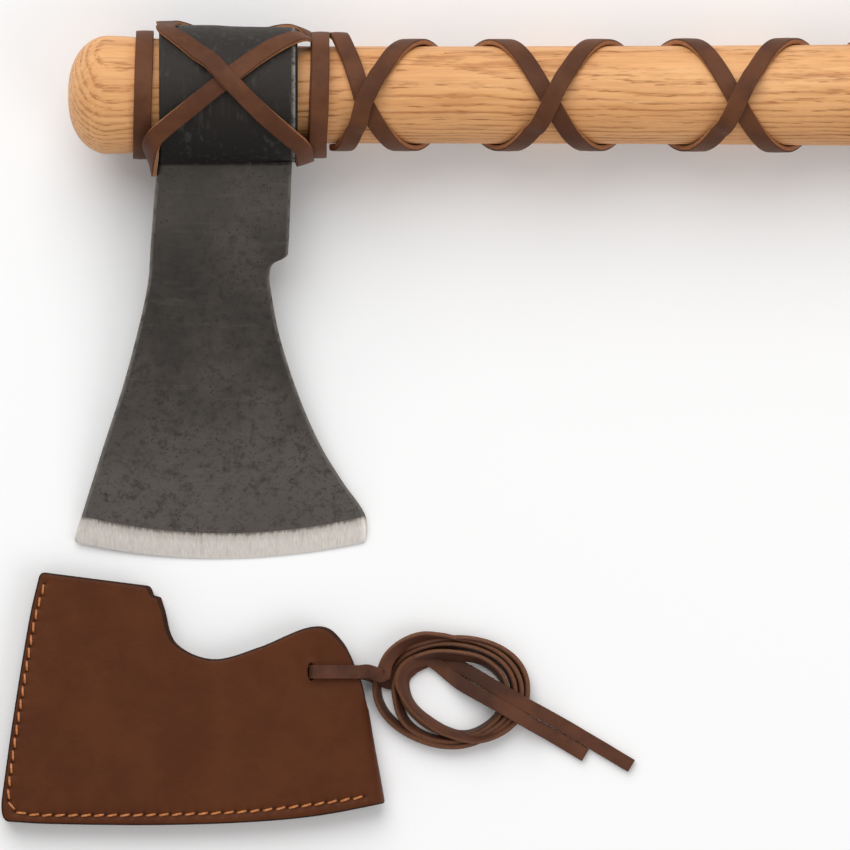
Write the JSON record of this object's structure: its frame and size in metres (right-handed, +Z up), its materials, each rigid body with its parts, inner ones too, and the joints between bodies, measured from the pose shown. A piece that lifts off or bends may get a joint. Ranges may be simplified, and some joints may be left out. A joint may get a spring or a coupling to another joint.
{
  "type": "felling axe",
  "caption": "Forest axe: forged bearded head slipped over a straight ash handle, leather lashing and criss-cross lace wrap, with a stitched leather bit sheath and its coiled tie lace.",
  "frame": {"origin": "on the surface that the axe and its sheath lie on, under the middle of the two together, the tie lace left out", "axes": "+X along the handle from the head's knob towards the grip end, +Y from the bit towards the eye, +Z up from the surface"},
  "size_m": [0.6738, 0.2836, 0.0578],
  "materials": {
    "ash": "sanded and oiled, straight grain along the handle",
    "forged_steel": "dark forge scale with a bright ground bevel at the edge",
    "lace_leather": "smooth dark brown face, raw tan edges",
    "sheath_leather": "smooth dark brown, satin",
    "thread": "waxed thread",
    "tie_leather": "smooth dark brown face, raw edges"
  },
  "bodies": {
    "axe": {"handle": "ash", "axe_head": "forged_steel", "lash_ring_knob": "lace_leather", "lash_ring_neck_inner": "lace_leather", "lash_ring_neck_outer": "lace_leather", "lash_front_over": "lace_leather", "lash_front_under": "lace_leather", "lash_back_over": "lace_leather", "lash_back_under": "lace_leather", "wrap_strand_over": "lace_leather", "wrap_strand_under": "lace_leather", "wrap_end_ring": "lace_leather"},
    "sheath": {"sheath_leather": "sheath_leather", "sheath_welt": "sheath_leather", "sheath_thread_front": "thread", "sheath_thread_back": "thread", "tie_lace_front": "tie_leather", "tie_lace_back": "tie_leather", "tie_lace_coil": "tie_leather", "tie_lace_tail_short": "tie_leather", "tie_lace_tail_long": "tie_leather"}
  },
  "joints": [
    {"name": "sheath_lift", "type": "slide", "parent": "axe", "child": "sheath", "axis": [0, 0, 1], "range_m": [0, 0.12]}
  ]
}
